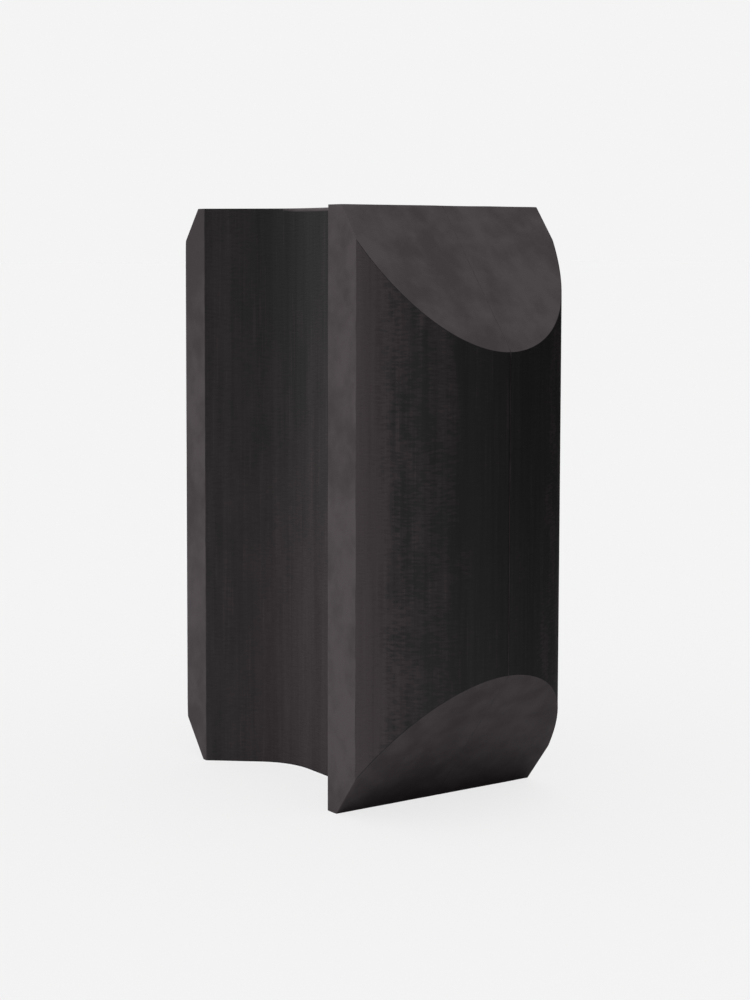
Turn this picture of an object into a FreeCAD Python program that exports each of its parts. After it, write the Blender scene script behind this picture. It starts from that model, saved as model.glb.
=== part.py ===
# Pull buoy: a foam swimming float, held between the thighs, made of two foam slabs
# bonded face to face.
#
# The block stands on one end. Z runs up along its length, Y from one lobe to the
# other and X through its thickness. The origin is on the ground, under the middle
# of the block, and the bond between the slabs lies in the plane X = 0.
import FreeCAD, Part
import math
import os
import Sketcher

# alias, value in millimetres (the last one is a share), meaning
SIZES = [
    ("block_length", 220.0, "height of the block as it stands on its end"),
    ("block_thickness", 90.0, "from one side face to the other, with both slabs and the bond"),
    ("lobe_crest", 89.5, "from the middle of the block to the outermost line of a lobe"),
    ("lobe_edge", 59.0, "from the middle to where a side face meets a lobe's round back"),
    ("waist_thickness", 36.6, "foam left between the two thigh grooves"),
    ("groove_mouth", 86.2, "width of a thigh groove where it opens in the side face"),
    ("groove_floor", 43.0, "width of its floor before the corners are rounded"),
    ("groove_radius", 25.0, "radius of those corners"),
    ("groove_shift", 1.7, "how far the grooves sit from the middle, towards the rear lobe"),
    ("top_flat", 49.5, "from the middle to where the top bevels start"),
    ("top_drop", 52.0, "height of a top bevel, measured down the crest"),
    ("foot_flat", 47.0, "from the middle to where the bottom bevels start"),
    ("foot_rise", 53.0, "height of a bottom bevel, measured up the crest"),
    ("bond_thickness", 0.4, "thickness of the adhesive between the slabs"),
    ("cut_margin", 0.2, "how far a cutting outline runs past the foam, as a share of its size"),
]

START = 1
END = 2
CENTRE = 3
X_AXIS = -1
Y_AXIS = -2
ORIGIN = (-1, 1)

doc = FreeCAD.newDocument("pull_buoy")


def makeSheet():
    sheet = doc.addObject("Spreadsheet::Sheet", "sizes")
    for row, (alias, value, meaning) in enumerate(SIZES, start=1):
        sheet.set(f"A{row}", alias)
        sheet.set(f"B{row}", str(value))
        sheet.set(f"C{row}", meaning)
        sheet.setAlias(f"B{row}", alias)
    doc.recompute()
    return sheet


sizes = makeSheet()


def newBody(name):
    body = doc.addObject("PartDesign::Body", name)
    body.Label = name
    body.Placement = FreeCAD.Placement()
    return body


def newSketch(body, name, role):
    plane = next(item for item in body.Origin.OriginFeatures if item.Role == role)
    sketch = body.newObject("Sketcher::SketchObject", f"{body.Name}_{name}")
    sketch.AttachmentSupport = (plane, [""])
    sketch.MapMode = "FlatFace"
    return sketch


def constrain(sketch, *terms):
    return sketch.addConstraint(Sketcher.Constraint(*terms))


# A closed outline of straight lines. Line n runs from corner n to the next one.
def addPolygon(sketch, corners):
    points = [FreeCAD.Vector(across, up, 0) for across, up in corners]
    lines = []
    for here, there in zip(points, points[1:] + points[:1]):
        lines.append(sketch.addGeometry(Part.LineSegment(here, there), False))
    for line, following in zip(lines, lines[1:] + lines[:1]):
        constrain(sketch, "Coincident", line, END, following, START)
    return lines


# Binds the distance between two points of a sketch to a formula of the sheet's
# cells. The points are put in the order that makes the distance positive.
def bind(sketch, direction, first, second, name, formula):
    gap = sketch.getPoint(*second) - sketch.getPoint(*first)
    distance = gap.x if direction == "DistanceX" else gap.y
    if distance < 0:
        first, second = second, first
    number = constrain(sketch, direction, *first, *second, abs(distance))
    sketch.renameConstraint(number, name)
    sketch.setExpression(f"Constraints.{name}", formula)


def addPad(body, sketch, name, formula, sideType):
    pad = body.newObject("PartDesign::Pad", f"{body.Name}_{name}")
    pad.Profile = sketch
    pad.SideType = sideType
    pad.setExpression("Length", formula)
    doc.recompute()
    return pad


# Cuts the sketch's outlines out of the body, to both sides of the sketch's plane.
def addPocket(body, sketch, name, formula):
    before = body.Shape.Volume
    pocket = body.newObject("PartDesign::Pocket", f"{body.Name}_{name}")
    pocket.Profile = sketch
    pocket.SideType = "Symmetric"
    pocket.setExpression("Length", formula)
    doc.recompute()
    removed = before - body.Shape.Volume
    print(f"{pocket.Name} removes {removed / 1000:.1f} cm3")
    if removed < 1:
        raise RuntimeError(f"{pocket.Name} cuts nothing")
    return pocket


# One round back in the plan. Its centre is on the Y axis, at centreY. Returns the
# arc, its end at the side face and its end at the bond.
def addBack(sketch, centreY, radius, facePoint, bondPoint):
    faceAngle = math.atan2(facePoint.y - centreY, facePoint.x)
    bondAngle = math.atan2(bondPoint.y - centreY, bondPoint.x)
    circle = Part.Circle(FreeCAD.Vector(0, centreY, 0), FreeCAD.Vector(0, 0, 1), radius)
    low, high = sorted((faceAngle, bondAngle))
    arc = sketch.addGeometry(Part.ArcOfCircle(circle, low, high), False)
    constrain(sketch, "PointOnObject", arc, CENTRE, Y_AXIS)
    if faceAngle < bondAngle:
        return arc, (arc, START), (arc, END)
    return arc, (arc, END), (arc, START)


# Half of the block's plan: a flat side face, two round backs and the bond line.
# side is -1 for the slab at -X and 1 for the slab at +X.
def addPlan(body, side):
    sketch = newSketch(body, "plan", "XY_Plane")
    faceX = side * sizes.block_thickness / 2
    bondX = side * sizes.bond_thickness / 2
    rise = sizes.lobe_crest - sizes.lobe_edge
    radius = (faceX ** 2 + rise ** 2) / (2 * rise)
    centreY = sizes.lobe_crest - radius
    bondY = centreY + math.sqrt(radius ** 2 - bondX ** 2)
    faceFront = FreeCAD.Vector(faceX, -sizes.lobe_edge, 0)
    faceRear = FreeCAD.Vector(faceX, sizes.lobe_edge, 0)
    bondFront = FreeCAD.Vector(bondX, -bondY, 0)
    bondRear = FreeCAD.Vector(bondX, bondY, 0)

    face = sketch.addGeometry(Part.LineSegment(faceFront, faceRear), False)
    bond = sketch.addGeometry(Part.LineSegment(bondFront, bondRear), False)
    front, frontAtFace, frontAtBond = addBack(sketch, -centreY, radius, faceFront, bondFront)
    rear, rearAtFace, rearAtBond = addBack(sketch, centreY, radius, faceRear, bondRear)

    constrain(sketch, "Coincident", face, START, *frontAtFace)
    constrain(sketch, "Coincident", face, END, *rearAtFace)
    constrain(sketch, "Coincident", bond, START, *frontAtBond)
    constrain(sketch, "Coincident", bond, END, *rearAtBond)
    constrain(sketch, "Symmetric", face, START, face, END, X_AXIS)
    constrain(sketch, "Vertical", bond)
    constrain(sketch, "Equal", front, rear)
    bind(sketch, "DistanceX", ORIGIN, (face, START), "face_out", "sizes.block_thickness / 2")
    bind(sketch, "DistanceX", ORIGIN, (bond, START), "bond_out", "sizes.bond_thickness / 2")
    bind(sketch, "DistanceY", (face, START), (face, END), "face_width", "2 * sizes.lobe_edge")
    # The radius of an arc from its rise and its half width: (w^2 + r^2) / 2r.
    rise = "(sizes.lobe_crest - sizes.lobe_edge)"
    number = constrain(sketch, "Radius", front, radius)
    sketch.renameConstraint(number, "back_radius")
    sketch.setExpression("Constraints.back_radius",
                         f"((sizes.block_thickness / 2)^2 + {rise}^2) / (2 * {rise})")
    return sketch


# The thigh groove: a wide V with a flat floor, running the whole length of the slab.
# The outline is carried out past the side face along the V's own slope.
def addGroove(body, side):
    sketch = newSketch(body, "groove_outline", "XY_Plane")
    depth = (sizes.block_thickness - sizes.waist_thickness) / 2
    floorX = side * sizes.waist_thickness / 2
    mouthX = side * (sizes.block_thickness / 2 + sizes.cut_margin * depth)
    flare = sizes.cut_margin * (sizes.groove_mouth - sizes.groove_floor) / 2
    floorHalf = sizes.groove_floor / 2
    mouthHalf = sizes.groove_mouth / 2 + flare
    middle = sizes.groove_shift
    corners = [
        (floorX, middle - floorHalf),
        (floorX, middle + floorHalf),
        (mouthX, middle + mouthHalf),
        (mouthX, middle - mouthHalf),
    ]
    floor, slope, mouth, otherSlope = addPolygon(sketch, corners)
    constrain(sketch, "Vertical", floor)
    constrain(sketch, "Vertical", mouth)
    bind(sketch, "DistanceX", ORIGIN, (floor, START), "floor_out", "sizes.waist_thickness / 2")
    bind(sketch, "DistanceX", (floor, START), (mouth, START), "reach",
         "(1 + sizes.cut_margin) * (sizes.block_thickness - sizes.waist_thickness) / 2")
    bind(sketch, "DistanceY", ORIGIN, (floor, END), "floor_rear",
         "sizes.groove_shift + sizes.groove_floor / 2")
    bind(sketch, "DistanceY", (floor, START), (floor, END), "floor_width", "sizes.groove_floor")
    wide = "sizes.groove_mouth + sizes.cut_margin * (sizes.groove_mouth - sizes.groove_floor)"
    bind(sketch, "DistanceY", (mouth, START), (mouth, END), "mouth_width", wide)
    bind(sketch, "DistanceY", ORIGIN, (mouth, START), "mouth_rear",
         f"sizes.groove_shift + ({wide}) / 2")
    addPocket(body, sketch, "groove", "3 * sizes.block_length")
    roundGrooveFloor(body, floorX)


# Rounds the two upright edges where the groove's slopes meet its floor.
def roundGrooveFloor(body, floorX):
    groove = body.Tip
    names = []
    for number, edge in enumerate(groove.Shape.Edges, start=1):
        xSpan = [vertex.Point.x for vertex in edge.Vertexes]
        upright = abs(edge.BoundBox.ZLength - sizes.block_length) < 0.01
        if upright and all(abs(x - floorX) < 0.01 for x in xSpan):
            names.append(f"Edge{number}")
    if len(names) != 2:
        raise RuntimeError(f"{body.Label}: found {len(names)} groove floor edges, not 2")
    rounding = body.newObject("PartDesign::Fillet", f"{body.Name}_groove_rounding")
    rounding.Base = (groove, names)
    rounding.setExpression("Radius", "sizes.groove_radius")
    doc.recompute()


# Cuts off the four corners that are seen along X, with straight bevels. Each cutting
# outline is a triangle whose long side is the bevel, carried past both of its ends.
def bevelEnds(body):
    sketch = newSketch(body, "bevel_outline", "YZ_Plane")
    margin = sizes.cut_margin
    ends = [
        ("top", sizes.block_length, -1, sizes.top_flat, sizes.top_drop, "top_flat", "top_drop"),
        ("foot", 0, 1, sizes.foot_flat, sizes.foot_rise, "foot_flat", "foot_rise"),
    ]
    for end, endZ, inward, flat, drop, flatName, dropName in ends:
        run = sizes.lobe_crest - flat
        outerZ = endZ - inward * margin * drop
        innerZ = endZ + inward * (1 + margin) * drop
        runFormula = f"(sizes.lobe_crest - sizes.{flatName})"
        overrun = f"sizes.cut_margin * sizes.{dropName}"
        upFormula = f"sizes.block_length + {overrun}" if end == "top" else overrun
        for lobe, direction in (("front", -1), ("rear", 1)):
            outerY = direction * (sizes.lobe_crest + margin * run)
            innerY = direction * (flat - margin * run)
            corners = [(innerY, outerZ), (outerY, outerZ), (outerY, innerZ)]
            level, upright, slope = addPolygon(sketch, corners)
            tag = f"{end}_{lobe}"
            constrain(sketch, "Horizontal", level)
            constrain(sketch, "Vertical", upright)
            bind(sketch, "DistanceX", ORIGIN, (level, END), f"{tag}_out",
                 f"sizes.lobe_crest + sizes.cut_margin * {runFormula}")
            bind(sketch, "DistanceY", ORIGIN, (level, END), f"{tag}_up", upFormula)
            bind(sketch, "DistanceX", (level, START), (level, END), f"{tag}_width",
                 f"(1 + 2 * sizes.cut_margin) * {runFormula}")
            bind(sketch, "DistanceY", (upright, START), (upright, END), f"{tag}_height",
                 f"(1 + 2 * sizes.cut_margin) * sizes.{dropName}")
    addPocket(body, sketch, "bevels", "2 * sizes.block_thickness")


def makeSlab(name, side):
    body = newBody(name)
    addPad(body, addPlan(body, side), "block", "sizes.block_length", "One side")
    addGroove(body, side)
    bevelEnds(body)
    return body


# The film of adhesive between the slabs, as long and as deep as the block.
def makeBond(name):
    body = newBody(name)
    sketch = newSketch(body, "outline", "YZ_Plane")
    crest = sizes.lobe_crest
    corners = [(-crest, 0), (crest, 0), (crest, sizes.block_length), (-crest, sizes.block_length)]
    foot, rear, top, front = addPolygon(sketch, corners)
    constrain(sketch, "Horizontal", top)
    constrain(sketch, "Vertical", front)
    constrain(sketch, "PointOnObject", foot, START, X_AXIS)
    constrain(sketch, "Symmetric", foot, START, foot, END, Y_AXIS)
    constrain(sketch, "Vertical", rear)
    bind(sketch, "DistanceX", (foot, START), (foot, END), "depth", "2 * sizes.lobe_crest")
    bind(sketch, "DistanceY", (rear, START), (rear, END), "length", "sizes.block_length")
    addPad(body, sketch, "film", "sizes.bond_thickness", "Symmetric")
    bevelEnds(body)
    return body


bodies = [
    makeSlab("left_foam_slab", -1),
    makeSlab("right_foam_slab", 1),
    makeBond("adhesive_film"),
]
doc.recompute()

for item in doc.Objects:
    if "Invalid" in item.State or "Error" in item.State:
        raise RuntimeError(f"{item.Name} did not recompute: {item.State}")
for body in bodies:
    if body.Shape.isNull() or not body.Shape.isValid() or len(body.Shape.Solids) != 1:
        raise RuntimeError(f"{body.Label} is not one valid solid")

os.makedirs("parts", exist_ok=True)
for body in bodies:
    body.Shape.exportStep(f"parts/{body.Label}.step")
    box = body.Shape.BoundBox
    print(f"{body.Label}: {body.Shape.Volume / 1e6:.4f} litres,",
          f"{box.XLength:.2f} x {box.YLength:.2f} x {box.ZLength:.2f} mm")
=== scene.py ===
import math
import bpy
import numpy as np
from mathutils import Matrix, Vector


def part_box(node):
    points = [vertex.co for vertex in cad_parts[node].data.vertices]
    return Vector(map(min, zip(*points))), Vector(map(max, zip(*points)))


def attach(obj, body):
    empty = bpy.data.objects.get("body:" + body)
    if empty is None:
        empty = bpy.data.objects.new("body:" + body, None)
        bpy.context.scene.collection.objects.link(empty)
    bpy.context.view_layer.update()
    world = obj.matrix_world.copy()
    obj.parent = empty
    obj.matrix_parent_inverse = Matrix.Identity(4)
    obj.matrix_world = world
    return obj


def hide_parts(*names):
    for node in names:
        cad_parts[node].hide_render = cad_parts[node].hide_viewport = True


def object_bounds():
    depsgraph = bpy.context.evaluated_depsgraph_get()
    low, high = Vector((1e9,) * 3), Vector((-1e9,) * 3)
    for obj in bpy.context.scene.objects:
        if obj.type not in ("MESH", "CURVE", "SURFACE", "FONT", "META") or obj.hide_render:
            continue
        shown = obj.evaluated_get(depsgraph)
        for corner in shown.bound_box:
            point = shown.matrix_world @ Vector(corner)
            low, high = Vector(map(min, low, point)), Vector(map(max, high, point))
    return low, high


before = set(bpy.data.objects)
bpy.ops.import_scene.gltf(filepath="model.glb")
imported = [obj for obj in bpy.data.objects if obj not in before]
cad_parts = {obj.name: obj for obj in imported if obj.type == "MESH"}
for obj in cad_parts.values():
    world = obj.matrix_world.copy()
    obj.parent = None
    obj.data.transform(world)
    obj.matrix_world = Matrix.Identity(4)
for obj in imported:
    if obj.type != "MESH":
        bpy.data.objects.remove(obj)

cadBox = [list(corner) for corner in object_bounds()]
slabLow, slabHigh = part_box("right_foam_slab")
print("frame loaded, block", [round(high - low, 4) for low, high in zip(*cadBox)])

# Metres. The crest, the side face, the height and the bond come from the frame.
block = {
    "crest": slabHigh.y,
    "side": slabHigh.x,
    "height": slabHigh.z,
    "bond": slabLow.x,
    "lobeEdge": 0.059,           # where a side face meets a round back
    "waist": 0.0366,             # foam between the two thigh grooves
    "grooveMouth": 0.0862,
    "grooveFloor": 0.043,        # before its corners are rounded
    "grooveRadius": 0.025,
    "grooveShift": 0.0017,       # towards the rear lobe
    "leftFullness": (0, -0.0011),   # of the front and rear round backs
    "rightFullness": (0.0008, 0),
    "topFlat": 0.0495,           # from the middle to the start of a top bevel
    "topDrop": 0.052,
    "footFlat": 0.047,
    "footRise": 0.053,
    "creaseSoftness": 0.0003,    # upright edges
    "ridgeSoftness": 0.00012,    # where an end turns into a bevel
    "rimRadius": 0.00018,        # edges round the ends and the bevels
    "grooveRim": 0.0011,         # top edge of a groove, where the cutter came out
    "grooveRimReach": (0.016, 0.028),
}

slabMesh = {
    "pathStep": 0.00008,         # between points of the outline before it is thinned
    "columnStep": 0.00058,
    "turnPerColumn": math.radians(6),
    "sharpAngle": math.radians(40),
    "bellReach": 4,              # in lengths of the softness
    "rowStep": 0.003,
    "rimRows": 6,
    "supportRow": 0.0004,        # between an edge and the wall's first row
    "ladderSteps": 20,
    "ladderPower": 1.35,         # crowds the rungs towards the rim
    "leftSeed": 11,
    "rightSeed": 29,
}

# Metres. Each mark or wave is a pair of widths, across the wall and up it.
cutMarks = {
    "broad": (0.0075, 0.14),
    "broadDepth": 0.00005,
    "narrow": (0.0023, 0.06),
    "narrowDepth": 0.000014,
    "sideWave": (0.012, 0.018),
    "sideDepth": 0.00003,
    "endWave": (0.011, 0.013),
    "endDepth": 0.00004,
    "fadeLength": 0.0015,        # over which the relief dies out towards an edge
    "seamDepth": 0.00012,        # dip at the bond
    "seamWidth": 0.0007,
    "edgeWave": (0.02, 0.004),   # border between the two finishes
    "edgeWander": 0.00012,
    "backPaintedLight": (0.75, 0.004, 0.020),   # share of the painted light, lighter near the side face, and where it thins out
    "thinPaintedLight": (0.25, 0.034, 0.041),
    "footWidening": 0.35,        # of the painted light on a round back, towards the foot
    "wallPaintedLight": 0.35,            # painted light on a groove's sloping walls
    "grooveFloorPaintedLight": 0.85,           # painted light on its floor, at the foot, standing in for light bounced up from below
    "wallWidth": (0.002, 0.019),   # from the groove's mouth, where wall turns to floor
    "paintedLightTop": 0.19,             # height at which the painted light on the groove floor begins
    "paintedLightFall": 0.16,
    "paintedLightWave": (0.006, 0.03),
    "paintedLightWaver": 0.15,
}


# 3t^2 - 2t^3, with t held between 0 and 1.
def smoothStep(share):
    held = np.clip(share, 0, 1)
    return held * held * (3 - 2 * held)


# A value part of the way from first to second.
def mix(first, second, share):
    return first + (second - first) * share


# A smooth random field over two lengths: random values from -1 to 1 on a lattice
# with the given steps, mixed between the four nearest by 3t^2 - 2t^3.
def latticeField(across, along, steps, seed):
    columns = (across - across.min()) / steps[0]
    rows = (along - along.min()) / steps[1]
    column = np.floor(columns).astype(int)
    row = np.floor(rows).astype(int)
    values = np.random.default_rng(seed).uniform(-1, 1, (column.max() + 2, row.max() + 2))
    columnShare = smoothStep(columns - column)
    near = mix(values[column, row], values[column + 1, row], columnShare)
    far = mix(values[column, row + 1], values[column + 1, row + 1], columnShare)
    return mix(near, far, smoothStep(rows - row))


# Points of an arc: centre + radius (cos a, sin a), a from one angle to the other.
def arcPoints(centreX, centreY, radius, fromAngle, toAngle):
    count = max(3, int(abs(toAngle - fromAngle) * radius / slabMesh["pathStep"]))
    angles = np.linspace(fromAngle, toAngle, count)
    return np.stack([centreX + radius * np.cos(angles), centreY + radius * np.sin(angles)], 1)


# Length of a path up to each of its points: the running sum of its steps.
def runAlong(path):
    return np.concatenate([[0], np.cumsum(np.linalg.norm(np.diff(path, axis=0), axis=1))])


# Points of a path at the wanted runs, on straight lines between its own points.
def pointsAt(path, run, wanted):
    return np.stack([np.interp(wanted, run, path[:, axis]) for axis in range(path.shape[1])], 1)


# Rise of an end over the plan, and its slope dz/dy. Past its flat part an end follows
# a straight bevel, slope times (sqrt(u^2 + s^2) + u) / 2 with u = |y| - flat and s the
# softness of the ridge.
def bevelRise(y, flat, reach):
    slope = reach / (block["crest"] - flat)
    past = np.abs(y) - flat
    root = np.sqrt(past ** 2 + block["ridgeSoftness"] ** 2)
    return slope * (root + past) / 2, slope * np.sign(y) * (past / root + 1) / 2


def topSurface(y):
    drop, slope = bevelRise(y, block["topFlat"], -block["topDrop"])
    return block["height"] + drop, slope


def footSurface(y):
    return bevelRise(y, block["footFlat"], block["footRise"])


# Makes a round back fuller or flatter near its side face, as a hand-led cut does:
# moves an arc's points off its centre by fullness x t (1 - t)^3 over that curve's own
# peak, with t from 0 at the side face to 1 at the crest.
def reshapeBack(arc, centreY, fullness):
    fromFace = np.clip(1 - np.abs(arc[:, 0]) / block["side"], 0, 1)
    outward = arc - [0, centreY]
    outward /= np.linalg.norm(outward, axis=1, keepdims=True)
    peak = 27 / 256
    move = fullness * fromFace * (1 - fromFace) ** 3 / peak
    return arc + outward * move[:, None]


# The plan of the slab at +X, from its front tip round to its rear tip: for each round
# back an arc of radius (w^2 + r^2) / 2r, with w half the block's width and r the back's
# rise, then the side faces, and between them a V groove whose floor corners are arcs.
def sharpOutline(fullness):
    rise = block["crest"] - block["lobeEdge"]
    backRadius = (block["side"] ** 2 + rise ** 2) / (2 * rise)
    backCentre = block["crest"] - backRadius
    faceAngle = math.atan2(block["lobeEdge"] - backCentre, block["side"])
    pastBond = 2 * slabMesh["bellReach"] * block["creaseSoftness"] / backRadius
    floorX = block["waist"] / 2
    floorHalf = block["grooveFloor"] / 2
    mouthHalf = block["grooveMouth"] / 2
    middle = block["grooveShift"]
    corner = block["grooveRadius"]
    slopeAngle = math.atan2(block["side"] - floorX, mouthHalf - floorHalf)
    arcStart = floorHalf - corner * math.tan(slopeAngle / 2)
    arcX = floorX + corner
    front = arcPoints(0, -backCentre, backRadius, -math.pi / 2 - pastBond, -faceAngle)
    rear = arcPoints(0, backCentre, backRadius, faceAngle, math.pi / 2 + pastBond)
    return np.concatenate([
        reshapeBack(front, -backCentre, fullness[0]),
        [[block["side"], middle - mouthHalf]],
        arcPoints(arcX, middle - arcStart, corner, math.pi + slopeAngle, math.pi),
        arcPoints(arcX, middle + arcStart, corner, math.pi, math.pi - slopeAngle),
        [[block["side"], middle + mouthHalf]],
        reshapeBack(rear, backCentre, fullness[1]),
    ])


# The columns of a slab's wall: place in the plan, outward normal and run from the bond.
# A bell curve, exp(-(d / s)^2 / 2), rolled along the sharp outline softens its creases.
# Columns stand at equal steps of length / its step + turn / its step, so edges get more.
def slabOutline(fullness):
    sharp = sharpOutline(fullness)
    run = runAlong(sharp)
    even = pointsAt(sharp, run, np.arange(0, run[-1], slabMesh["pathStep"]))
    reach = int(slabMesh["bellReach"] * block["creaseSoftness"] / slabMesh["pathStep"])
    offsets = np.arange(-reach, reach + 1) * slabMesh["pathStep"]
    bell = np.exp(-0.5 * (offsets / block["creaseSoftness"]) ** 2)
    bell /= bell.sum()
    soft = np.stack([np.convolve(even[:, axis], bell, "valid") for axis in (0, 1)], 1)

    tangent = np.gradient(soft, axis=0)
    heading = np.unwrap(np.arctan2(tangent[:, 1], tangent[:, 0]))
    _, topSlope = topSurface(soft[:, 1])
    _, footSlope = footSurface(soft[:, 1])
    turn = np.abs(np.diff(heading))
    turn += np.abs(np.diff(np.arctan(topSlope))) + np.abs(np.diff(np.arctan(footSlope)))
    inside = soft[:, 0] >= block["bond"]
    first = np.argmax(inside)
    last = len(inside) - np.argmax(inside[::-1])
    length = np.diff(runAlong(soft))
    weight = length / slabMesh["columnStep"] + turn / slabMesh["turnPerColumn"]
    measure = np.concatenate([[0], np.cumsum(weight)])[first:last]
    count = int(measure[-1] - measure[0])
    wanted = np.linspace(measure[0], measure[-1], count)
    fields = np.column_stack([soft, tangent, runAlong(soft)])[first:last]
    columns = pointsAt(fields, measure, wanted)
    plan = columns[:, :2]
    tangent = columns[:, 2:4] / np.linalg.norm(columns[:, 2:4], axis=1, keepdims=True)
    normal = np.column_stack([tangent[:, 1], -tangent[:, 0], np.zeros(count)])
    return plan, normal, columns[:, 4] - columns[0, 4]


# Radius of the top edge: the worn one over the middle of a groove, which goes over to
# the crisp one by 3t^2 - 2t^3 between the near and the far end of its reach.
def topRimRadius(y):
    near, far = block["grooveRimReach"]
    outward = (np.abs(y - block["grooveShift"]) - near) / (far - near)
    return mix(block["grooveRim"], block["rimRadius"], smoothStep(outward))[:, None]


# Softens the edge between a wall and an end: centre = edge - r (n + m) / (1 + n.m),
# points = centre + r slerp(n, m, t), from the wall's normal n to the end's normal m.
def rimArc(edge, wallNormal, endNormal, radius):
    cosine = (wallNormal * endNormal).sum(1, keepdims=True)
    centre = edge - radius * (wallNormal + endNormal) / (1 + cosine)
    angle = np.arccos(np.clip(cosine, -1, 1))
    share = np.linspace(0, 1, slabMesh["rimRows"] + 1)[:, None, None]
    blended = np.sin((1 - share) * angle) * wallNormal + np.sin(share * angle) * endNormal
    return centre + radius * blended / np.sin(angle)


# How far the wall stands out at each point: wide and narrow marks that run up the
# wall on the cut faces, faint waves on the side faces, and a fine dip at the bond.
def wallRelief(run, height, cut, fromBond, seed):
    across = np.broadcast_to(run, height.shape)
    broad = latticeField(across, height, cutMarks["broad"], seed)
    narrow = latticeField(across, height, cutMarks["narrow"], seed + 1)
    wave = latticeField(across, height, cutMarks["sideWave"], seed + 2)
    marks = cutMarks["broadDepth"] * broad + cutMarks["narrowDepth"] * narrow
    relief = mix(cutMarks["sideDepth"] * wave, marks, cut)
    return relief - cutMarks["seamDepth"] * (1 - smoothStep(fromBond / cutMarks["seamWidth"]))


# The share of cut finish along the outline: 1 on the round backs and in the groove,
# 0 on the side faces. The border wanders a little up the height.
def cutShare(y, height, seed):
    across = np.broadcast_to(y, height.shape)
    edge = y + cutMarks["edgeWander"] * latticeField(across, height, cutMarks["edgeWave"], seed)
    onBack = np.abs(edge) > block["lobeEdge"]
    inGroove = np.abs(edge - block["grooveShift"]) < block["grooveMouth"] / 2
    return np.where(onBack | inGroove, 1.0, 0.0)


# Painted light on the cut faces, 0 to 1: a lighter tone standing in for the side light near
# the side faces and for light bounced up into the grooves. On a round back it is the sum of
# two steps down, share x (1 - smooth(d)), with d the distance from the side face between two
# limits and smooth(t) = 3t^2 - 2t^3. In a groove it is even on the sloping walls, and on the
# floor it grows downwards as smooth((top - z) / fall).
def paintedLightShare(run, y, height, seed):
    across = np.broadcast_to(run, height.shape)
    waver = 1 + cutMarks["paintedLightWaver"] * latticeField(across, height, cutMarks["paintedLightWave"], seed)
    edges = np.interp((-block["lobeEdge"], block["lobeEdge"]), y, run)
    away = np.abs(run[:, None] - edges).min(1) * waver
    wide = 1 + cutMarks["footWidening"] * (1 - height / block["height"])
    onBack = 0
    for (part, start, end), stretch in ((cutMarks["backPaintedLight"], wide), (cutMarks["thinPaintedLight"], 1)):
        onBack = onBack + part * (1 - smoothStep((away / stretch - start) / (end - start)))
    near, far = cutMarks["wallWidth"]
    inward = block["grooveMouth"] / 2 - np.abs(y - block["grooveShift"])
    onFloor = cutMarks["grooveFloorPaintedLight"] * smoothStep(
        (cutMarks["paintedLightTop"] - height * waver) / cutMarks["paintedLightFall"])
    inGroove = mix(cutMarks["wallPaintedLight"], onFloor, smoothStep((inward - near) / (far - near)))
    return np.where(np.abs(y) > block["lobeEdge"], onBack, inGroove)


# One end of the slab as a ladder from the rim to the bond: at each column the points
# share the rim's y and x runs from the rim to the bond by t^p. Their height is the end's
# own, plus the rim's offset from it x (1 - t^p), plus a faint wave that dies out at both
# sides.
def endLadder(rim, surface, seed):
    share = np.linspace(0, 1, slabMesh["ladderSteps"] + 1)[1:] ** slabMesh["ladderPower"]
    share = share[:, None]
    x = mix(rim[1:-1, 0], block["bond"], share)
    y = np.broadcast_to(rim[1:-1, 1], x.shape)
    wave = latticeField(x, y, cutMarks["endWave"], seed)
    room = np.minimum(x - block["bond"], rim[1:-1, 0] - x) / cutMarks["fadeLength"]
    offset = rim[1:-1, 2] - surface(rim[1:-1, 1])[0]
    z = surface(y)[0] + offset * (1 - share)
    z = z + cutMarks["endDepth"] * wave * smoothStep(room)
    return np.stack([x, y, z], 2)


# Four-cornered faces of a grid of point numbers, wound the same way all over.
def gridFaces(grid):
    corners = [grid[:-1, :-1], grid[:-1, 1:], grid[1:, 1:], grid[1:, :-1]]
    return np.stack(corners, 2).reshape(-1, 4)


# Puts a mesh in the scene as an object at the origin.
def putMesh(name, points, faces, smooth):
    mesh = bpy.data.meshes.new(name)
    mesh.from_pydata(points, [], faces)
    mesh.polygons.foreach_set("use_smooth", smooth)
    mesh.update()
    mesh.validate()
    mesh.set_sharp_from_angle(angle=slabMesh["sharpAngle"])
    piece = bpy.data.objects.new(name, mesh)
    bpy.context.scene.collection.objects.link(piece)
    return piece
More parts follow.
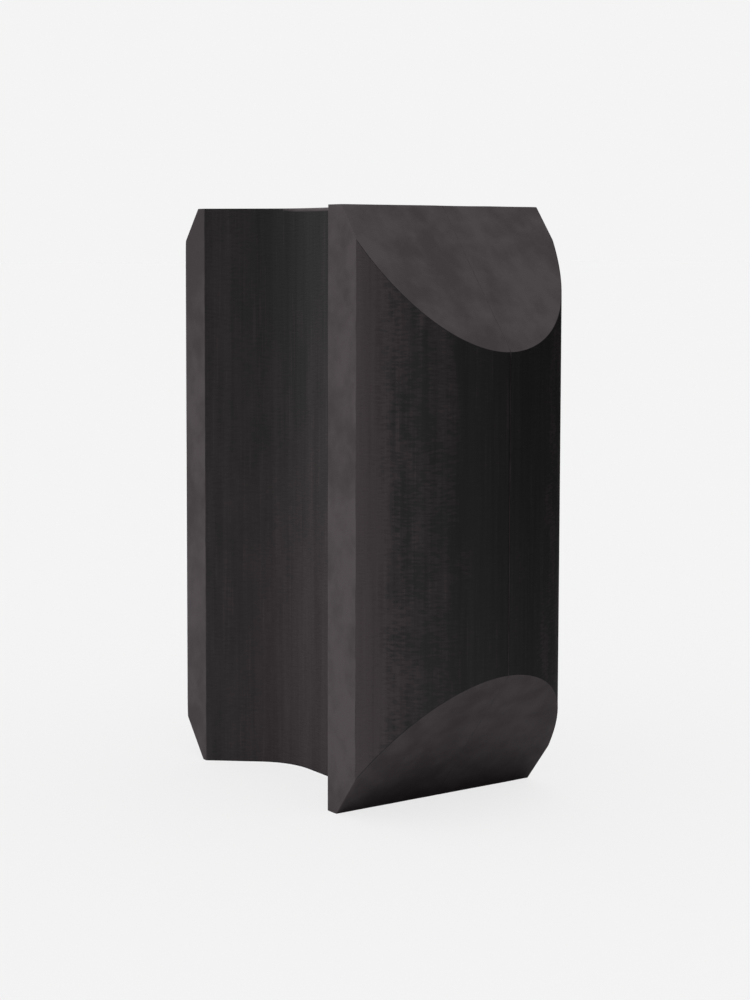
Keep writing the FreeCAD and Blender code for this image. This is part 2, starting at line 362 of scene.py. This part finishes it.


# The upright part of a slab as one grid, row by row: the rounded edge of the foot, the
# wall and the rounded edge of the top, each point being outline point + relief x normal.
# Also gives the share of cut finish and the painted light at each point.
def uprightPart(fullness, seed):
    plan, normal, run = slabOutline(fullness)
    x, y = plan.T
    top, topSlope = topSurface(y)
    foot, footSlope = footSurface(y)
    flat = np.zeros_like(y)
    up = np.stack([flat, -topSlope, flat + 1], 1) / np.sqrt(1 + topSlope ** 2)[:, None]
    down = np.stack([flat, footSlope, flat - 1], 1) / np.sqrt(1 + footSlope ** 2)[:, None]
    topRim = rimArc(np.stack([x, y, top], 1), normal, up, topRimRadius(y))
    footRim = rimArc(np.stack([x, y, foot], 1), normal, down, block["rimRadius"])[::-1]

    support = slabMesh["supportRow"] / block["height"]
    rows = np.linspace(support, 1 - support, int(block["height"] / slabMesh["rowStep"]))
    wall = mix(footRim[-1], topRim[0], rows[:, None, None])
    height = wall[:, :, 2]
    cut = cutShare(y, height, seed)
    fromBond = np.minimum(run, run[-1] - run)
    toEnd = np.minimum(height - foot, top - height) / cutMarks["fadeLength"]
    relief = wallRelief(run, height, cut, fromBond, seed) * smoothStep(toEnd)
    upright = np.concatenate([footRim, wall + relief[:, :, None] * normal, topRim])
    upright[:, [0, -1], 0] = block["bond"]

    # The skin's finish begins half way round an edge, or at once where it is worn.
    rimCount = len(topRim)
    halfRim = slabMesh["rimRows"] // 2
    share = np.zeros(upright.shape[:2])
    share[halfRim:rimCount] = cut[0]
    share[rimCount:-rimCount] = cut
    worn = topRimRadius(y)[:, 0] > (block["grooveRim"] + block["rimRadius"]) / 2
    share[-rimCount:-halfRim] = np.where(worn, 0, cut[-1])
    # Painted light: a lighter tone on the wall's cut faces, none on the rims.
    paintedLight = np.zeros(upright.shape[:2])
    paintedLight[rimCount:-rimCount] = paintedLightShare(run, y, height, seed + 5)
    return upright, share, paintedLight


# Faces of a slab over the point numbers of its three grids. The smooth ones come first:
# the wall, each end's ladder, and the triangles where a ladder narrows to a tip. The
# flat bond face follows, as strips between the two ladders' last rungs and a closing
# face at each tip. Also gives the count of smooth faces.
def slabFaces(wallGrid, topGrid, footGrid):
    groups = [gridFaces(wallGrid)]
    for rim, grid, turn in ((wallGrid[-1], topGrid, 1), (wallGrid[0], footGrid, -1)):
        ladder = np.concatenate([rim[None, 1:-1], grid])
        groups.append(gridFaces(ladder)[:, ::turn])
        firstTip = np.full(len(grid), rim[0])
        lastTip = np.full(len(grid), rim[-1])
        groups.append(np.stack([firstTip, ladder[:-1, 0], ladder[1:, 0]], 1)[:, ::turn])
        groups.append(np.stack([ladder[:-1, -1], lastTip, ladder[1:, -1]], 1)[:, ::turn])
    faces = [face for group in groups for face in group.tolist()]
    smoothCount = len(faces)
    bondTop, bondFoot = topGrid[-1], footGrid[-1]
    strips = [bondFoot[:-1], bondTop[:-1], bondTop[1:], bondFoot[1:]]
    faces += np.stack(strips, 1).tolist()
    faces.append([*wallGrid[:, 0].tolist(), int(bondTop[0]), int(bondFoot[0])])
    faces.append([int(bondFoot[-1]), int(bondTop[-1]), *wallGrid[::-1, -1].tolist()])
    return faces, smoothCount


# A foam slab: an upright part round the outline, two ladders for its ends and a flat
# bond face. side is 1 for the slab at +X and -1 for the one at -X, a mirror image.
def makeSlab(name, side, fullness, seed):
    upright, share, paintedLight = uprightPart(fullness, seed)
    topEnd = endLadder(upright[-1], topSurface, seed + 3)
    footEnd = endLadder(upright[0], footSurface, seed + 4)
    points = np.concatenate([part.reshape(-1, 3) for part in (upright, topEnd, footEnd)])
    points[:, 0] *= side

    wallGrid = np.arange(share.size).reshape(share.shape)
    endShape = topEnd.shape[:2]
    topGrid = wallGrid.size + np.arange(math.prod(endShape)).reshape(endShape)
    footGrid = topGrid + topGrid.size
    faces, smoothCount = slabFaces(wallGrid, topGrid, footGrid)
    if side < 0:
        faces = [face[::-1] for face in faces]
    piece = putMesh(name, points.tolist(), faces, np.arange(len(faces)) < smoothCount)

    endZeros = np.zeros(topGrid.size + footGrid.size)
    # The second point attribute holds the painted light of the cut faces.
    for finish, values in (("cutFace", share), ("paintedLight", paintedLight)):
        mark = piece.data.attributes.new(finish, "FLOAT", "POINT")
        values = np.concatenate([values.ravel(), endZeros])
        mark.data.foreach_set("value", values.astype(np.float32))
    rowCount, columnCount = share.shape
    triangles = sum(len(face) - 2 for face in faces)
    print(piece.name, "made:", columnCount, "columns,", rowCount, "rows,", triangles, "triangles")
    return piece


bondFilm = {
    "columns": 90,
    "rows": 110,
    "edgeDip": 0.00004,          # how far the edge stays behind the foam
    "unevenness": 0.00005,
    "unevenStep": 0.004,
    "seed": 47,
}


# The film of adhesive: two sheets over the block's outline seen along X, at the bond's
# two faces, with z part of the way from the foot to the top at each y, and a band that
# closes them round the edge. The edge wavers.
def makeFilm(name, seed):
    reach = block["crest"] - bondFilm["edgeDip"]
    y = np.linspace(-reach, reach, bondFilm["columns"])
    share = np.linspace(0, 1, bondFilm["rows"])[:, None]
    top, _ = topSurface(y)
    foot, _ = footSurface(y)
    z = mix(foot + bondFilm["edgeDip"], top - bondFilm["edgeDip"], share)
    y = np.broadcast_to(y, z.shape).copy()
    steps = (bondFilm["unevenStep"], bondFilm["unevenStep"])
    waver = bondFilm["unevenness"] * latticeField(y, z, steps, seed)
    y[:, 0] += waver[:, 0]
    y[:, -1] += waver[:, -1]
    sheets = [np.stack([np.full(z.shape, x), y, z], 2) for x in (-block["bond"], block["bond"])]
    points = np.concatenate([sheet.reshape(-1, 3) for sheet in sheets])
    left = np.arange(z.size).reshape(z.shape)
    right = left + z.size
    faces = [gridFaces(right), gridFaces(left)[:, ::-1]]
    loop = np.concatenate([left[0], left[1:, -1], left[-1, -2::-1], left[-2:0:-1, 0]])
    around = np.append(loop, loop[0])
    faces.append(np.stack([around[:-1], around[1:], around[1:] + z.size, around[:-1] + z.size], 1))
    faces = np.concatenate(faces)
    piece = putMesh(name, points.tolist(), faces.tolist(), np.zeros(len(faces), bool))
    print(name, "made:", 2 * len(faces), "triangles")
    return piece


leftSlab = makeSlab("foamSlabLeft", -1, block["leftFullness"], slabMesh["leftSeed"])
rightSlab = makeSlab("foamSlabRight", 1, block["rightFullness"], slabMesh["rightSeed"])
film = makeFilm("bondFilm", bondFilm["seed"])

# Colours are linear. A noise has its repeats per metre, the scale of each axis before
# that, its detail and its roughness. A range is a pattern's low and high, then what
# these become. Shares and heights are the parts of patterns that are summed.
foam = {
    "skinLight": (0.0620, 0.0530, 0.0562),
    "skinDark": (0.0440, 0.0374, 0.0400),
    # Lighter copies of the cut colours: painted light on the cut faces.
    "paintedLitCutLight": (0.0440, 0.0363, 0.0388),
    "paintedLitCutDark": (0.0360, 0.0292, 0.0312),
    "cutLight": (0.0246, 0.0237, 0.0240),
    "cutDark": (0.0182, 0.0179, 0.0180),
    "roughness": 0.92,
    "specular": 0.10,
    "noises": {
        "streak": (620, (1, 1, 0.025), 3.0, 0.6),
        "hair": (1500, (1, 1, 0.025), 1.0, 0.5),
        "band": (150, (1, 1, 0.025), 1.0, 0.5),
        "chatter": (1300, (0.25, 0.25, 1), 1.0, 0.5),
        "patch": (130, (1, 1, 0.4), 2.0, 0.5),
        "speck": (120, (1, 1, 1), 2.0, 0.5),
        "mottle": (34, (1, 1, 1), 4.0, 0.55),
        "grain": (1500, (1, 1, 1), 3.0, 0.7),
    },
    "cellScale": 2100,
    "chatterRange": (0.36, 0.64, -0.5, 0.5),
    "hairRange": (0.35, 0.6, 0.3, 1.0),
    "breakShares": {"ripple": 0.95, "patch": 0.9, "streak": 0.4},
    "breakRange": (0.3, 0.7, -0.5, 0.5),
    "grooveBreaks": 0.35,        # breaks in the grooves, against those on the round backs
    "evenBreaks": 0.25,          # breaks where the painted light is full or none
    "hairLineRange": (0.62, 0.7, 0.0, 0.3),
    "markShares": {"streak": 0.45, "band": 0.55},
    "markRange": (0.36, 0.64),
    "cloudShares": {"mottle": 0.55, "speck": 0.35, "grain": 0.1},
    "cloudRange": (0.42, 0.58),
    "skinHeights": {"grain": 1, "cells": 0.5},
    "cutHeights": {"streak": 1, "ripple": 0.8, "cells": 0.35},
    "bumpDistance": 0.00012,
    "skinBump": 0.35,
    "cutBump": 0.6,
}
glue = {
    "light": (0.055, 0.0480, 0.0505),
    "dark": (0.042, 0.0360, 0.0380),
    "roughness": 0.85,
    "specular": 0.1,
    "lumps": (900, (1, 1, 0.3), 3.0, 0.5),
    "lumpRange": (0.35, 0.65),
    "bumpDistance": 0.00005,
    "bump": 0.4,
}


def addNode(material, kind, **values):
    node = material.node_tree.nodes.new(kind)
    for name, value in values.items():
        setattr(node, name, value)
    return node


def feed(material, source, target):
    material.node_tree.links.new(source, target)


def newMaterial(name):
    material = bpy.data.materials.new(name)
    material.use_nodes = True
    material.node_tree.nodes.clear()
    return material


# Noise over the piece's own coordinates, stretched by a Mapping's scale.
def noiseOf(material, coordinates, scale, stretch, detail, roughness):
    place = addNode(material, "ShaderNodeMapping")
    place.inputs["Scale"].default_value = stretch
    feed(material, coordinates, place.inputs["Vector"])
    noise = addNode(material, "ShaderNodeTexNoise")
    noise.inputs["Scale"].default_value = scale
    noise.inputs["Detail"].default_value = detail
    noise.inputs["Roughness"].default_value = roughness
    feed(material, place.outputs["Vector"], noise.inputs["Vector"])
    return noise.outputs["Fac"]


# One Math node on two values, each a number or another node's output.
def compute(material, operation, first, second):
    node = addNode(material, "ShaderNodeMath", operation=operation)
    for socket, value in zip(node.inputs, (first, second)):
        if isinstance(value, (int, float)):
            socket.default_value = value
        else:
            feed(material, value, socket)
    return node.outputs[0]


# The sum of pattern x share over the named shares.
def weightedSum(material, patterns, shares):
    parts = [compute(material, "MULTIPLY", patterns[name], share) for name, share in shares.items()]
    total = parts[0]
    for part in parts[1:]:
        total = compute(material, "ADD", total, part)
    return total


# Carries low to newLow and high to newHigh, and holds the value between them.
def spread(material, value, low, high, newLow=0.0, newHigh=1.0):
    node = addNode(material, "ShaderNodeMapRange")
    node.inputs["From Min"].default_value = low
    node.inputs["From Max"].default_value = high
    node.inputs["To Min"].default_value = newLow
    node.inputs["To Max"].default_value = newHigh
    feed(material, value, node.inputs["Value"])
    return node.outputs["Result"]


# A colour part of the way from first to second, each a colour or a node's output.
def mixColour(material, share, first, second):
    node = addNode(material, "ShaderNodeMix", data_type="RGBA")
    feed(material, share, node.inputs["Factor"])
    sockets = [socket for socket in node.inputs if socket.type == "RGBA"]
    for socket, value in zip(sockets, (first, second)):
        if isinstance(value, tuple):
            socket.default_value = (*value, 1)
        else:
            feed(material, value, socket)
    return next(socket for socket in node.outputs if socket.type == "RGBA")


# A matt surface of the given colour, with fine relief from height as bump.
def finishSurface(material, colour, height, strength, settings):
    surface = addNode(material, "ShaderNodeBsdfPrincipled")
    surface.inputs["Roughness"].default_value = settings["roughness"]
    surface.inputs["Specular IOR Level"].default_value = settings["specular"]
    bump = addNode(material, "ShaderNodeBump")
    bump.inputs["Distance"].default_value = settings["bumpDistance"]
    if isinstance(strength, float):
        bump.inputs["Strength"].default_value = strength
    else:
        feed(material, strength, bump.inputs["Strength"])
    feed(material, height, bump.inputs["Height"])
    feed(material, bump.outputs["Normal"], surface.inputs["Normal"])
    feed(material, colour, surface.inputs["Base Color"])
    output = addNode(material, "ShaderNodeOutputMaterial")
    feed(material, surface.outputs["BSDF"], output.inputs["Surface"])


# Ripples across the cut: short level marks where the hair-fine upright ones are strong.
def cutRipples(material, patterns):
    level = spread(material, patterns["chatter"], *foam["chatterRange"])
    upright = spread(material, patterns["hair"], *foam["hairRange"])
    return compute(material, "MULTIPLY", level, upright)


# All patterns of the foam by name: the noises, the closed cells and the ripples.
def foamPatterns(material, coordinates):
    patterns = {}
    for name, settings in foam["noises"].items():
        patterns[name] = noiseOf(material, coordinates, *settings)
    cells = addNode(material, "ShaderNodeTexVoronoi", feature="F1")
    cells.inputs["Scale"].default_value = foam["cellScale"]
    feed(material, coordinates, cells.inputs["Vector"])
    patterns["cells"] = cells.outputs["Distance"]
    patterns["ripple"] = cutRipples(material, patterns)
    return patterns


# The painted light P of the point attribute, broken up by ripples, patches and streaks as much
# as P (1 - P) allows, and less inside the grooves. Hair-fine lighter lines lie over it all.
def brokenPaintedLight(material, coordinates, patterns):
    paintedLight = addNode(material, "ShaderNodeAttribute", attribute_name="paintedLight").outputs["Fac"]
    thin = compute(material, "MULTIPLY", paintedLight, compute(material, "SUBTRACT", 1.0, paintedLight))
    peak = 0.5 * (1 - 0.5)
    thin = spread(material, thin, 0, peak, foam["evenBreaks"])
    apart = addNode(material, "ShaderNodeSeparateXYZ")
    feed(material, coordinates, apart.inputs["Vector"])
    fromMiddle = compute(material, "ABSOLUTE", apart.outputs["Y"], 0)
    outside = spread(material, fromMiddle, block["grooveMouth"] / 2, block["lobeEdge"],
                     foam["grooveBreaks"])
    breaking = {"ripple": patterns["ripple"]}
    for name in ("patch", "streak"):
        breaking[name] = spread(material, patterns[name], *foam["breakRange"])
    breaks = weightedSum(material, breaking, foam["breakShares"])
    breaks = compute(material, "MULTIPLY", compute(material, "MULTIPLY", breaks, outside), thin)
    hairLines = spread(material, patterns["hair"], *foam["hairLineRange"])
    broken = compute(material, "ADD", compute(material, "ADD", paintedLight, breaks), hairLines)
    return spread(material, broken, 0, 1)


# Closed-cell foam with two finishes: a dusty sanded skin on the side faces, ends and
# bevels, and a darker cut face with marks that run up it on the backs and grooves. Painted
# light turns the cut face towards lighter copies of its colours.
def foamMaterial():
    material = newMaterial("charcoalFoam")
    coordinates = addNode(material, "ShaderNodeTexCoord").outputs["Object"]
    patterns = foamPatterns(material, coordinates)
    paintedLight = brokenPaintedLight(material, coordinates, patterns)
    marks = weightedSum(material, patterns, foam["markShares"])
    marks = spread(material, marks, *foam["markRange"])
    cleanColour = mixColour(material, marks, foam["cutDark"], foam["cutLight"])
    # Painted light: the cut colours lit up, mixed in by the painted light share.
    paintedLitColour = mixColour(material, marks, foam["paintedLitCutDark"], foam["paintedLitCutLight"])
    cutColour = mixColour(material, paintedLight, cleanColour, paintedLitColour)
    clouds = weightedSum(material, patterns, foam["cloudShares"])
    clouds = spread(material, clouds, *foam["cloudRange"])
    skinColour = mixColour(material, clouds, foam["skinDark"], foam["skinLight"])
    cut = addNode(material, "ShaderNodeAttribute", attribute_name="cutFace").outputs["Fac"]
    colour = mixColour(material, cut, skinColour, cutColour)

    heights = addNode(material, "ShaderNodeMix", data_type="FLOAT")
    feed(material, cut, heights.inputs["Factor"])
    feed(material, weightedSum(material, patterns, foam["skinHeights"]), heights.inputs["A"])
    feed(material, weightedSum(material, patterns, foam["cutHeights"]), heights.inputs["B"])
    strength = spread(material, cut, 0, 1, foam["skinBump"], foam["cutBump"])
    finishSurface(material, colour, heights.outputs["Result"], strength, foam)
    return material


# A thin line of dried adhesive, a little lumpy, in two near shades.
def glueMaterial():
    material = newMaterial("driedAdhesive")
    coordinates = addNode(material, "ShaderNodeTexCoord").outputs["Object"]
    lumps = noiseOf(material, coordinates, *glue["lumps"])
    shade = spread(material, lumps, *glue["lumpRange"])
    colour = mixColour(material, shade, glue["dark"], glue["light"])
    finishSurface(material, colour, lumps, glue["bump"], glue)
    return material


foamFinish = foamMaterial()
for slab, node in ((leftSlab, "left_foam_slab"), (rightSlab, "right_foam_slab")):
    slab.data.materials.append(foamFinish)
    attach(slab, "root")
    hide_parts(node)
film.data.materials.append(glueMaterial())
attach(film, "root")
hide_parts("adhesive_film")
print("materials made, pieces ride on the frame")

# Metres, degrees, and brightness with white as 1. The floor is what is seen. The board
# lies just under it, unseen, and sends light back up, as a small pale table top does.
stage = {
    "floorReach": 30.0,
    "floorColour": 0.8,
    "backdrop": 0.905,
    "floorSkyShare": 0.17,       # share of the floor's light that the block can shade
    "floorLightAngle": 5,
    "boardReach": (0.22, 0.22),
    "boardMiddle": (-0.05, 0.0),
    "boardColour": 0.7,
    "boardDepth": 0.0004,
}
studio = {
    "topStrength": 1.52,
    "topFrom": (-0.08, 0.0, 1.0),
    "topAngle": 54,
    "sideStrength": 0.86,
    "sideFrom": (-0.936, 0.341, 0.087),
    "sideAngle": 90,
    "backStrength": 0.8,
    "backFrom": (0.5, 0.85, 0.25),
    "backAngle": 50,
    "fillStrength": 0.11,
    "fillFrom": (-0.2, -0.5, -0.84),
    "fillAngle": 60,
    "skyAngle": 170,             # over the floor
}


# A sun lamp that shines from source on the given receivers only. A strength of 1 lights
# a white face square to it up to white, so the lamp's energy is strength x pi.
def addSun(name, strength, source, angle, receivers, shadow=True):
    light = bpy.data.lights.new(name, "SUN")
    light.energy = strength * math.pi
    light.angle = math.radians(angle)
    light.use_shadow = shadow
    lamp = bpy.data.objects.new(name, light)
    lamp.rotation_mode = "QUATERNION"
    lamp.rotation_quaternion = Vector(source).to_track_quat("Z", "Y")
    bpy.context.scene.collection.objects.link(lamp)
    lit = bpy.data.collections.new(name + "Receivers")
    for piece in receivers:
        lit.objects.link(piece)
    lamp.light_linking.receiver_collection = lit


# A flat matt board, depth below the floor's height, with reach to each side of its middle.
def makeBoard(name, reach, middle, depth, brightness):
    across, along = reach
    x, y = middle
    corners = [(x - across, y - along, -depth), (x + across, y - along, -depth),
               (x + across, y + along, -depth), (x - across, y + along, -depth)]
    board = putMesh(name, corners, [(0, 1, 2, 3)], [False])
    paper = newMaterial(name + "Paper")
    surface = addNode(paper, "ShaderNodeBsdfDiffuse")
    surface.inputs["Color"].default_value = (brightness, brightness, brightness, 1)
    output = addNode(paper, "ShaderNodeOutputMaterial")
    feed(paper, surface.outputs["BSDF"], output.inputs["Surface"])
    board.data.materials.append(paper)
    return board


# The floor, the board, a plain backdrop that lights nothing, and the lamps. The lamps
# over the floor bring it to the backdrop's brightness.
def makeStage():
    reach = stage["floorReach"]
    floor = makeBoard("floor", (reach, reach), (0, 0), 0, stage["floorColour"])
    floor.visible_diffuse = False
    floor.visible_glossy = False
    floor.visible_shadow = False
    board = makeBoard("bounceBoard", stage["boardReach"], stage["boardMiddle"],
                      stage["boardDepth"], stage["boardColour"])
    board.visible_camera = False

    world = bpy.data.worlds.new("surroundings")
    world.use_nodes = True
    background = world.node_tree.nodes["Background"]
    background.inputs["Color"].default_value = (1, 1, 1, 1)
    background.inputs["Strength"].default_value = stage["backdrop"]
    world.cycles_visibility.diffuse = False
    world.cycles_visibility.glossy = False
    bpy.context.scene.world = world

    needed = stage["backdrop"] / stage["floorColour"]
    above = (0, 0, 1)
    shaded = stage["floorSkyShare"]
    addSun("floorLight", needed * (1 - shaded), above, stage["floorLightAngle"], [floor], False)
    addSun("floorSky", needed * shaded, above, studio["skyAngle"], [floor])
    pieces = [leftSlab, rightSlab, film]
    addSun("topLight", studio["topStrength"], studio["topFrom"], studio["topAngle"],
           [*pieces, board])
    addSun("sideLight", studio["sideStrength"], studio["sideFrom"], studio["sideAngle"], pieces)
    addSun("backLight", studio["backStrength"], studio["backFrom"], studio["backAngle"], pieces)
    addSun("fillLight", studio["fillStrength"], studio["fillFrom"], studio["fillAngle"], pieces,
           False)


# Degrees and metres. The aim is given from the middle of the block.
viewpoint = {
    "azimuth": -33.70,
    "elevation": 4.15,
    "aim": (-0.0193, 0.0111, 0.0374),
    "distance": 0.775,
    "lens": 71.88,
    "shiftX": 0.0688,
    "shiftY": -0.1043,
}


# The camera stands at aim + distance (sin a cos e, -cos a cos e, sin e).
def makeCamera():
    data = bpy.data.cameras.new("camera")
    data.lens = viewpoint["lens"]
    data.shift_x = viewpoint["shiftX"]
    data.shift_y = viewpoint["shiftY"]
    azimuth = math.radians(viewpoint["azimuth"])
    elevation = math.radians(viewpoint["elevation"])
    back = Vector((math.sin(azimuth) * math.cos(elevation),
                   -math.cos(azimuth) * math.cos(elevation), math.sin(elevation)))
    middle = (Vector(cadBox[0]) + Vector(cadBox[1])) / 2
    camera = bpy.data.objects.new("camera", data)
    camera.location = middle + Vector(viewpoint["aim"]) + back * viewpoint["distance"]
    camera.rotation_euler = (math.pi / 2 - elevation, 0, azimuth)
    bpy.context.scene.collection.objects.link(camera)
    bpy.context.scene.camera = camera


makeStage()
makeCamera()
bpy.context.scene.view_settings.view_transform = "Standard"
print("floor, lights and camera placed")
